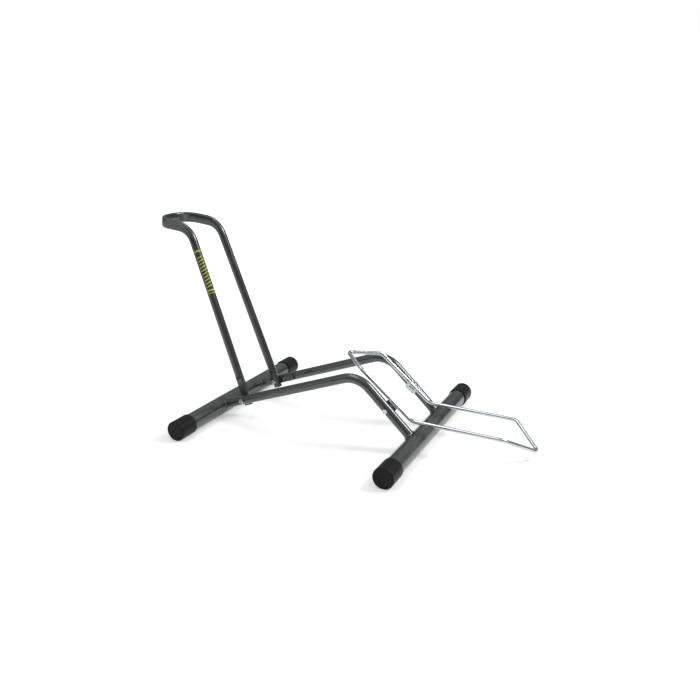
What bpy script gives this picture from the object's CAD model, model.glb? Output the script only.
import math

import bpy
from mathutils import Matrix, Vector


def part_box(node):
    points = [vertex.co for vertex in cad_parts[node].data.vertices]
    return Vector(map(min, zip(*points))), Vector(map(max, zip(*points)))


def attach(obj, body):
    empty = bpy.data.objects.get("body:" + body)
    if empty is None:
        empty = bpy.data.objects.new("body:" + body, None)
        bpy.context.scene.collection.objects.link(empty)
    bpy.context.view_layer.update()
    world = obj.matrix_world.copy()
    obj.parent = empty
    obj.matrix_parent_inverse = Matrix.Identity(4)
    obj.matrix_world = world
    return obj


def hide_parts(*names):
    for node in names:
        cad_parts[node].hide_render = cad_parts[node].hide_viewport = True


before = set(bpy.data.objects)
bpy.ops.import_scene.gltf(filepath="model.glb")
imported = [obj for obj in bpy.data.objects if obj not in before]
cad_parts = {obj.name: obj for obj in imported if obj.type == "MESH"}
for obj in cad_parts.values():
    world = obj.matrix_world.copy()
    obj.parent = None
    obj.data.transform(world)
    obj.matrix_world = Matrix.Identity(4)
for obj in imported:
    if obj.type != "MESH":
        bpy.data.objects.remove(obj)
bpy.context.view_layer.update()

# ---------------------------------------------------------------- camera
# The photograph is taken from the rack's left, near its open front, a little above the hoop's
# height, with a moderately long lens and a very small roll.
scene = bpy.context.scene
CAMERA_PLACE = Vector((0.64273, -1.217, 0.617))
CAMERA_AZIMUTH = math.radians(26.87)
CAMERA_RISE = math.radians(18.2)
CAMERA_ROLL = math.radians(-0.87)
CAMERA_LENS = 682.6 / 700 * 36

camera_data = bpy.data.cameras.new("camera")
camera_data.sensor_width = 36
camera_data.lens = CAMERA_LENS
camera_data.clip_start = 0.01
camera = bpy.data.objects.new("camera", camera_data)
scene.collection.objects.link(camera)
camera_back = Vector((math.sin(CAMERA_AZIMUTH) * math.cos(CAMERA_RISE),
                      -math.cos(CAMERA_AZIMUTH) * math.cos(CAMERA_RISE), math.sin(CAMERA_RISE)))
level_right = Vector((0, 0, 1)).cross(camera_back).normalized()
level_up = camera_back.cross(level_right)
camera_right = level_right * math.cos(CAMERA_ROLL) + level_up * math.sin(CAMERA_ROLL)
camera_up = camera_back.cross(camera_right)
turn = Matrix((camera_right, camera_up, camera_back)).transposed().to_4x4()
camera.matrix_world = Matrix.Translation(CAMERA_PLACE) @ turn
scene.camera = camera
scene.view_settings.view_transform = "Standard"

# ---------------------------------------------------------------- floor and studio light
# A seamless white sweep: the floor shows white to the camera, pale in reflections, and still takes
# the rack's soft shadow. The key softbox stands in front of the rack and to its right, a wide one
# hangs overhead, and a narrow strip behind it and to its left draws a thin line along the tubes.


def adder(tree):
    """A short way to add nodes to a tree, with their values and the links that feed them."""
    def add(kind, links=(), **values):
        item = tree.nodes.new(kind)
        for key, value in values.items():
            if key in item.inputs:
                item.inputs[key].default_value = value
            else:
                setattr(item, key, value)
        for source, socket in links:
            tree.links.new(source, item.inputs[socket])
        return item

    return add


def new_material(name):
    """An empty material with its node tree, its output and a way to add nodes."""
    material = bpy.data.materials.new(name)
    material.use_nodes = True
    tree = material.node_tree
    tree.nodes.clear()
    output = tree.nodes.new("ShaderNodeOutputMaterial")
    return material, tree, output, adder(tree)


FLOOR_COLOUR = (0.8, 0.8, 0.8, 1)
FLOOR_HALF = 30
NEAR_REACH = 0.55
FAR_REACH = 1.6
GLOW_NEAR = 0.36
GLOW_FAR = 1.0
GLOW_MIRRORED = 0.26

floor_finish, tree, output, add = new_material("floor_white")
ray = add("ShaderNodeLightPath")
mirrored = add("ShaderNodeMath", operation="MAXIMUM", links=[(ray.outputs["Is Glossy Ray"], 0),
                                                            (ray.outputs["Is Transmission Ray"], 1)])
reach = add("ShaderNodeVectorMath", operation="LENGTH",
            links=[(add("ShaderNodeTexCoord").outputs["Object"], 0)])
rise = add("ShaderNodeMapRange", interpolation_type="SMOOTHSTEP", links=[(reach.outputs["Value"], "Value")])
for socket, value in (("From Min", NEAR_REACH), ("From Max", FAR_REACH),
                      ("To Min", GLOW_NEAR), ("To Max", GLOW_FAR)):
    rise.inputs[socket].default_value = value
seen = add("ShaderNodeMath", operation="MULTIPLY",
           links=[(ray.outputs["Is Camera Ray"], 0), (rise.outputs[0], 1)])
glow = add("ShaderNodeMath", operation="MULTIPLY_ADD",
           links=[(mirrored.outputs[0], 0), (seen.outputs[0], 2)])
glow.inputs[1].default_value = GLOW_MIRRORED
matt = add("ShaderNodeBsdfDiffuse", Color=FLOOR_COLOUR)
light = add("ShaderNodeEmission", links=[(glow.outputs[0], "Strength")])
both = add("ShaderNodeAddShader", links=[(matt.outputs[0], 0), (light.outputs[0], 1)])
tree.links.new(both.outputs[0], output.inputs["Surface"])

floor_mesh = bpy.data.meshes.new("floor")
floor_mesh.from_pydata([(-FLOOR_HALF, -FLOOR_HALF, 0), (FLOOR_HALF, -FLOOR_HALF, 0),
                        (FLOOR_HALF, FLOOR_HALF, 0), (-FLOOR_HALF, FLOOR_HALF, 0)], [], [(0, 1, 2, 3)])
floor = bpy.data.objects.new("floor", floor_mesh)
floor.data.materials.append(floor_finish)
scene.collection.objects.link(floor)

# The studio's walls get paler from the floor to the ceiling, and the camera sees plain white.
WALL_HEIGHTS = (0.22, 0.75)
WALL_COLOURS = ((0.11, 0.11, 0.115, 1), (0.6, 0.6, 0.6, 1))

world = bpy.data.worlds.new("studio")
scene.world = world
world.use_nodes = True
tree = world.node_tree
tree.nodes.clear()
add = adder(tree)
direction = add("ShaderNodeTexCoord")
height = add("ShaderNodeSeparateXYZ", links=[(direction.outputs["Generated"], 0)])
walls = add("ShaderNodeValToRGB", links=[(height.outputs["Z"], "Fac")])
for element, position, colour in zip(walls.color_ramp.elements, WALL_HEIGHTS, WALL_COLOURS):
    element.position = position
    element.color = colour
room = add("ShaderNodeBackground", links=[(walls.outputs["Color"], "Color")])
white = add("ShaderNodeBackground", Color=(1, 1, 1, 1), Strength=1)
ray = add("ShaderNodeLightPath")
pick = add("ShaderNodeMixShader",
           links=[(ray.outputs["Is Camera Ray"], 0), (room.outputs[0], 1), (white.outputs[0], 2)])
add("ShaderNodeOutputWorld", links=[(pick.outputs[0], "Surface")])


def softbox(name, place, target, wide, high, power):
    """A rectangular lamp at a place, turned to face its target."""
    lamp = bpy.data.lights.new(name, "AREA")
    lamp.shape = "RECTANGLE"
    lamp.size = wide
    lamp.size_y = high
    lamp.energy = power
    item = bpy.data.objects.new(name, lamp)
    item.location = place
    item.rotation_euler = (Vector(target) - Vector(place)).to_track_quat("-Z", "Y").to_euler()
    scene.collection.objects.link(item)
    return item


softbox("key_box", (1.5, 0.8, 1.7), (0, 0, 0.1), 0.6, 0.9, 30)
softbox("overhead_box", (-0.5, -0.2, 2.2), (0, 0, 0.1), 1.8, 0.8, 11)
softbox("side_box", (-1.7, -1.5, 1.0), (0, 0, 0.2), 0.35, 1.4, 2)

# ---------------------------------------------------------------- base tubes
# Two straight lengths of 38 mm round steel tube that lie across the rack and carry everything.
# The welded base and the hoop are sprayed together in a dark metallic charcoal.


# Noise lies mostly between these two values.
NOISE_LOW, NOISE_HIGH = 0.3, 0.7


def noise(add, scale, detail):
    """Noise that stays fixed to the piece."""
    place = add("ShaderNodeTexCoord").outputs["Object"]
    return add("ShaderNodeTexNoise", Scale=scale, Detail=detail, links=[(place, "Vector")])


def spread(add, source, low, high):
    """Maps a texture's value to a range of numbers."""
    item = add("ShaderNodeMapRange", links=[(source, "Value")])
    for key, value in (("From Min", NOISE_LOW), ("From Max", NOISE_HIGH), ("To Min", low), ("To Max", high)):
        item.inputs[key].default_value = value
    return item.outputs[0]


def two_tone(add, source, dark, pale):
    """Mixes two colours by a texture's value."""
    item = add("ShaderNodeValToRGB", links=[(source, "Fac")])
    item.color_ramp.elements[0].position = NOISE_LOW
    item.color_ramp.elements[0].color = (*dark, 1)
    item.color_ramp.elements[1].position = NOISE_HIGH
    item.color_ramp.elements[1].color = (*pale, 1)
    return item.outputs["Color"]


FLAKE_DARK, FLAKE_PALE = (0.086, 0.09, 0.09), (0.106, 0.111, 0.111)
CLOUD_DARK, CLOUD_PALE = (0.88, 0.89, 0.9), (1.08, 1.07, 1.06)


def charcoal_paint(name):
    """Sprayed metallic paint: fine flake, faint cloudiness, a little orange peel, glossy lacquer."""
    material, tree, output, add = new_material(name)
    cloud = noise(add, 14, 3)
    flake = noise(add, 2600, 1)
    flake_tone = two_tone(add, flake.outputs["Fac"], FLAKE_DARK, FLAKE_PALE)
    cloud_tone = two_tone(add, cloud.outputs["Fac"], CLOUD_DARK, CLOUD_PALE)
    tone = add("ShaderNodeMix", data_type="RGBA", blend_type="MULTIPLY")
    tone.inputs[0].default_value = 1
    tree.links.new(flake_tone, tone.inputs[6])
    tree.links.new(cloud_tone, tone.inputs[7])
    peel = noise(add, 420, 1)
    bump = add("ShaderNodeBump", Strength=0.03, Distance=0.0003, links=[(peel.outputs["Fac"], "Height")])
    shader = add("ShaderNodeBsdfPrincipled", Metallic=0.75,
                 links=[(tone.outputs[2], "Base Color"), (bump.outputs[0], "Normal"),
                        (spread(add, cloud.outputs["Fac"], 0.25, 0.33), "Roughness")])
    shader.inputs["Coat Weight"].default_value = 0.6
    shader.inputs["Coat Roughness"].default_value = 0.15
    tree.links.new(shader.outputs[0], output.inputs["Surface"])
    return material


def finish(material, *nodes):
    """Gives the named pieces one finish."""
    for name in nodes:
        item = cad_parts[name]
        item.data.materials.clear()
        item.data.materials.append(material)


paint = charcoal_paint("charcoal_paint")
finish(paint, "rear_cross_tube", "front_cross_tube")

# ---------------------------------------------------------------- rubber end caps
# A moulded black cup pushed over each end of the base tubes. It has a rounded closed end, a soft
# satin skin with a fine spark-eroded grain, and a flat underneath that keeps the rack from rolling.
RUBBER_DARK = (0.009, 0.0095, 0.01)
RUBBER_PALE = (0.015, 0.0158, 0.0165)

rubber, tree, output, add = new_material("black_rubber")
grain = noise(add, 900, 2)
scuff = noise(add, 35, 4)
bump = add("ShaderNodeBump", Strength=0.12, Distance=0.0005, links=[(grain.outputs["Fac"], "Height")])
shader = add("ShaderNodeBsdfPrincipled",
             links=[(two_tone(add, scuff.outputs["Fac"], RUBBER_DARK, RUBBER_PALE), "Base Color"),
                    (spread(add, scuff.outputs["Fac"], 0.3, 0.42), "Roughness"),
                    (bump.outputs[0], "Normal")])
shader.inputs["Specular IOR Level"].default_value = 0.14
tree.links.new(shader.outputs[0], output.inputs["Surface"])
finish(rubber, "rear_left_cap", "rear_right_cap", "front_left_cap", "front_right_cap")

# ---------------------------------------------------------------- side rails
# Two 20 mm tubes bent once over a former. They are pressed flat on the inside at the hoop's bolts,
# drilled for the bolts, cut square at both ends and painted with the base tubes.
finish(paint, "left_rail", "right_rail")

# ---------------------------------------------------------------- welds on the base
# A short bead of weld down both flanks of every rail end, laid in overlapping ripples and painted
# over. Each bead follows the rim of the rail where it meets the round of the base tube.


def input_by_name(tree, name):
    """The identifier that a modifier uses for one of its tree's named inputs."""
    return next(item.identifier for item in tree.interface.items_tree
                if item.item_type == "SOCKET" and item.in_out == "INPUT" and item.name == name)


def new_tree(name, **sizes):
    """A Geometry Nodes tree with named number inputs and a material input."""
    tree = bpy.data.node_groups.new(name, "GeometryNodeTree")
    for label, value in sizes.items():
        kind = "NodeSocketInt" if isinstance(value, int) else "NodeSocketFloat"
        tree.interface.new_socket(label, in_out="INPUT", socket_type=kind).default_value = value
    tree.interface.new_socket("Material", in_out="INPUT", socket_type="NodeSocketMaterial")
    tree.interface.new_socket("Geometry", in_out="OUTPUT", socket_type="NodeSocketGeometry")
    source = tree.nodes.new("NodeGroupInput")
    result = tree.nodes.new("NodeGroupOutput")
    add = adder(tree)

    def sum_of(operation, *terms):
        """One Math node, fed by sockets or by plain numbers."""
        item = add("ShaderNodeMath", operation=operation)
        for index, term in enumerate(terms):
            if isinstance(term, (int, float)):
                item.inputs[index].default_value = term
            else:
                tree.links.new(term, item.inputs[index])
        return item.outputs[0]

    def close(instances):
        """Realizes what was repeated and gives it the material."""
        solid = add("GeometryNodeRealizeInstances", links=[(instances, 0)])
        painted = add("GeometryNodeSetMaterial", links=[(solid.outputs[0], "Geometry"),
                                                       (source.outputs["Material"], "Material")])
        tree.links.new(painted.outputs[0], result.inputs["Geometry"])

    return tree, source, add, sum_of, close


def grown(name, tree, material, **sizes):
    """Runs a tree on its own and returns its result as a plain mesh."""
    carrier = bpy.data.objects.new(name, bpy.data.meshes.new(name))
    scene.collection.objects.link(carrier)
    modifier = carrier.modifiers.new("grow", "NODES")
    modifier.node_group = tree
    modifier[input_by_name(tree, "Material")] = material
    for label, value in sizes.items():
        modifier[input_by_name(tree, label)] = value
    graph = bpy.context.evaluated_depsgraph_get()
    mesh = bpy.data.meshes.new_from_object(carrier.evaluated_get(graph))
    bpy.data.objects.remove(carrier)
    mesh.name = name
    return mesh


def joined(name, material, meshes_and_places):
    """One object from copies of meshes, each put in its place."""
    vertices, faces = [], []
    for mesh, place in meshes_and_places:
        first = len(vertices)
        vertices += [place @ vertex.co for vertex in mesh.vertices]
        loops = [[first + index for index in polygon.vertices] for polygon in mesh.polygons]
        faces += [loop[::-1] for loop in loops] if place.determinant() < 0 else loops
    mesh = bpy.data.meshes.new(name)
    mesh.from_pydata(vertices, [], faces)
    mesh.materials.append(material)
    mesh.polygons.foreach_set("use_smooth", [True] * len(mesh.polygons))
    item = bpy.data.objects.new(name, mesh)
    scene.collection.objects.link(item)
    return item


# In the tree a rail end lies along X with the base tube behind it, Y points to the flank that is
# welded, and Z runs up the rail's rim.
tree, source, add, sum_of, close = new_tree("weld_ripples", Ripples=17, RimRadius=0.0102, TubeRadius=0.01905,
                                            HalfAngle=0.85, BeadRadius=0.0044)
line = add("GeometryNodeMeshLine", links=[(source.outputs["Ripples"], "Count")])
line.inputs["Offset"].default_value = (0, 0, 0)
index = add("GeometryNodeInputIndex").outputs[0]
last = sum_of("SUBTRACT", source.outputs["Ripples"], 1)
share = sum_of("SUBTRACT", sum_of("DIVIDE", index, last), 0.5)
angle = sum_of("MULTIPLY", sum_of("MULTIPLY", share, 2), source.outputs["HalfAngle"])
up = sum_of("MULTIPLY", sum_of("SINE", angle), source.outputs["RimRadius"])
out = sum_of("MULTIPLY", sum_of("COSINE", angle), source.outputs["RimRadius"])
drop = sum_of("SQRT", sum_of("SUBTRACT", sum_of("MULTIPLY", source.outputs["TubeRadius"],
                                                source.outputs["TubeRadius"]), sum_of("MULTIPLY", up, up)))
along = sum_of("MULTIPLY", sum_of("ADD", drop, source.outputs["TubeRadius"]), 0.5)
place = add("ShaderNodeCombineXYZ", links=[(along, 0), (out, 1), (up, 2)])
laid = add("GeometryNodeSetPosition", links=[(line.outputs[0], "Geometry"), (place.outputs[0], "Position")])
ripple = add("GeometryNodeMeshUVSphere", Segments=20, Rings=12,
             links=[(source.outputs["BeadRadius"], "Radius")])
# Each ripple is a slightly flattened ball, and the ripples shrink toward both ends of the bead.
thin = add("ShaderNodeCombineXYZ", X=1.0, Y=0.85, Z=0.8)
turned_up = add("FunctionNodeEulerToRotation",
                links=[(add("ShaderNodeCombineXYZ", links=[(angle, 0)]).outputs[0], 0)])
taper = sum_of("SQRT", sum_of("SUBTRACT", 1.02, sum_of("MULTIPLY", sum_of("MULTIPLY", share, share), 3.2)))
sized = add("ShaderNodeVectorMath", operation="SCALE", links=[(thin.outputs[0], 0), (taper, "Scale")])
spread_out = add("GeometryNodeInstanceOnPoints",
                 links=[(laid.outputs[0], "Points"), (ripple.outputs["Mesh"], "Instance"),
                        (turned_up.outputs[0], "Rotation"), (sized.outputs[0], "Scale")])
close(spread_out.outputs[0])
bead = grown("weld_bead", tree, paint)

rear_low, rear_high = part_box("rear_cross_tube")
front_low, front_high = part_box("front_cross_tube")
rail_low, rail_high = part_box("right_rail")
rear_tube = Vector(((rear_low[0] + rear_high[0]) / 2, 0, (rear_low[2] + rear_high[2]) / 2))
front_tube = Vector(((front_low[0] + front_high[0]) / 2, 0, rear_tube.z))
rail_y = (rail_low[1] + rail_high[1]) / 2
RAIL_CREST_AHEAD = 0.343742
RAIL_CREST_RISE = 0.1224
rail_crest = rear_tube + Vector((RAIL_CREST_AHEAD, 0, RAIL_CREST_RISE))
ends = []
across = Vector((0, 1, 0))
for tube in (rear_tube, front_tube):
    run = (rail_crest - tube).normalized()
    rim_up = Vector((-run.z, 0, run.x)) if run.x > 0 else Vector((run.z, 0, -run.x))
    for flank in (1, -1):
        for side in (1, -1):
            axes = Matrix((run, across * flank, rim_up)).transposed().to_4x4()
            ends.append((bead, Matrix.Translation(tube + across * rail_y * side) @ axes))
weld_beads = joined("frame_weld_beads", paint, ends)
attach(weld_beads, "frame")
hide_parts("frame_welds")

# ---------------------------------------------------------------- wheel hoop
# One length of 18 mm tube: two leaning legs, drawn out flat into a strap where it bends back and
# round behind the tyre. It is painted like the base, before its feet are bolted between the rails.
finish(paint, "wheel_hoop")

# ---------------------------------------------------------------- stripes on the left leg
# A plain yellow-green marking printed on film and wrapped round the front of the left leg: one bar
# above, one thick and one thin bar below, and a row of slanted dashes between them.
FILM_DARK = (0.42, 0.46, 0.02)
FILM_PALE = (0.56, 0.6, 0.045)
FILM_TURN = math.radians(8)
FILM_THICKNESS = 0.00006

stripe_film, tree, output, add = new_material("yellow_green_film")
fade = noise(add, 260, 3)
shader = add("ShaderNodeBsdfPrincipled",
             links=[(two_tone(add, fade.outputs["Fac"], FILM_DARK, FILM_PALE), "Base Color"),
                    (spread(add, fade.outputs["Fac"], 0.3, 0.45), "Roughness")])
tree.links.new(shader.outputs[0], output.inputs["Surface"])

# In the tree the leg lies along Z and a bar is wrapped round it, centred on X.
tree, source, add, sum_of, close = new_tree("wrapped_bars", Bars=10, Pitch=0.0072, Width=0.0026, Wrap=1.1,
                                            Radius=0.00908, Slant=0.004)
sheet_of_film = add("GeometryNodeMeshGrid")
sheet_of_film.inputs["Size X"].default_value = 1
sheet_of_film.inputs["Size Y"].default_value = 1
sheet_of_film.inputs["Vertices X"].default_value = 2
sheet_of_film.inputs["Vertices Y"].default_value = 21
flat_place = add("ShaderNodeSeparateXYZ", links=[(add("GeometryNodeInputPosition").outputs[0], 0)])
angle = sum_of("MULTIPLY", flat_place.outputs["Y"], source.outputs["Wrap"])
height = sum_of("ADD", sum_of("MULTIPLY", flat_place.outputs["X"], source.outputs["Width"]),
                sum_of("MULTIPLY", flat_place.outputs["Y"], source.outputs["Slant"]))
toward_front = sum_of("MULTIPLY", sum_of("COSINE", angle), source.outputs["Radius"])
toward_side = sum_of("MULTIPLY", sum_of("SINE", angle), source.outputs["Radius"])
place = add("ShaderNodeCombineXYZ", links=[(toward_front, 0), (toward_side, 1), (height, 2)])
bar = add("GeometryNodeSetPosition", links=[(sheet_of_film.outputs["Mesh"], "Geometry"),
                                            (place.outputs[0], "Position")])
step = add("ShaderNodeCombineXYZ", links=[(source.outputs["Pitch"], 2)])
row = add("GeometryNodeMeshLine", links=[(source.outputs["Bars"], "Count"), (step.outputs[0], "Offset")])
repeated = add("GeometryNodeInstanceOnPoints",
               links=[(row.outputs[0], "Points"), (bar.outputs[0], "Instance")])
close(repeated.outputs[0])

UPPER_BAR = 0.3385
DASHES_START = 0.2605
LOWER_BAR = 0.2510
THIN_BAR = 0.2448
LEG_FOOT = rear_tube + Vector((0.062176, -0.061, 0.02214))
LEG_TOP = rear_tube + Vector((-0.066658, -0.0505, 0.3906))
leg_run = (LEG_TOP - LEG_FOOT).normalized()
toward_eye = (CAMERA_PLACE - LEG_TOP) - leg_run * (CAMERA_PLACE - LEG_TOP).dot(leg_run)
face = Matrix.Rotation(FILM_TURN, 3, leg_run) @ toward_eye.normalized()
leg_axes = Matrix((face, leg_run.cross(face), leg_run)).transposed().to_4x4()


def on_leg(distance):
    """A place this far up the left leg from its foot."""
    return Matrix.Translation(LEG_FOOT + leg_run * distance) @ leg_axes


dashes = grown("slanted_dashes", tree, stripe_film, Wrap=1.5)
thick_bar = grown("thick_bar", tree, stripe_film, Bars=1, Width=0.0038, Wrap=2.3, Slant=0.0)
thin_bar = grown("thin_bar", tree, stripe_film, Bars=1, Width=0.0015, Wrap=2.3, Slant=0.0)
stripes = joined("leg_stripes", stripe_film, [(dashes, on_leg(DASHES_START)), (thick_bar, on_leg(UPPER_BAR)),
                                              (thick_bar, on_leg(LOWER_BAR)), (thin_bar, on_leg(THIN_BAR))])
film = stripes.modifiers.new("film", "SOLIDIFY")
film.thickness = FILM_THICKNESS
film.offset = 1
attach(stripes, "hoop")

# ---------------------------------------------------------------- wire loop
# A closed ring of 8 mm steel rod with a pointed nose and a pointed tail, bent over a jig and bright
# plated. It takes the wheel in front and rocks on two bolts.


def bright_plate(name, dark, pale, smooth, dull, grain):
    """Bright metal plating: faint cloudy streaks, tiny pits and slightly uneven polish."""
    material, tree, output, add = new_material(name)
    cloud = noise(add, grain, 3)
    pit = noise(add, 900, 2)
    bump = add("ShaderNodeBump", Strength=0.01, Distance=0.0002, links=[(pit.outputs["Fac"], "Height")])
    shader = add("ShaderNodeBsdfPrincipled", Metallic=1.0,
                 links=[(two_tone(add, cloud.outputs["Fac"], dark, pale), "Base Color"),
                        (spread(add, cloud.outputs["Fac"], smooth, dull), "Roughness"),
                        (bump.outputs[0], "Normal")])
    tree.links.new(shader.outputs[0], output.inputs["Surface"])
    return material


wire_finish = bright_plate("bright_wire", (0.5, 0.55, 0.57), (0.68, 0.72, 0.74), 0.15, 0.22, 30)
finish(wire_finish, "wire_loop")

# ---------------------------------------------------------------- loop tabs
# Two small plates of 3 mm steel sheet, welded to the loop's sides and drilled for its bolts. Their
# plating is duller than the rod's.
finish(bright_plate("plated_sheet", (0.5, 0.53, 0.55), (0.66, 0.69, 0.7), 0.2, 0.32, 90),
       "left_loop_tab", "right_loop_tab", "tab_welds")

# ---------------------------------------------------------------- bolts, nuts and washers
# Zinc-plated M6 hexagon bolts with nuts inside the rails: one pair carries the hoop, one the loop.
# Spacer washers keep the loop's tabs off the rails, and plain ones lie under the loop's nuts.
finish(bright_plate("zinc_fasteners", (0.5, 0.56, 0.62), (0.72, 0.75, 0.76), 0.18, 0.3, 160),
       "left_hoop_bolt", "right_hoop_bolt", "left_hoop_nut", "right_hoop_nut",
       "left_loop_bolt", "right_loop_bolt", "loop_spacers", "loop_washers", "left_loop_nut", "right_loop_nut")
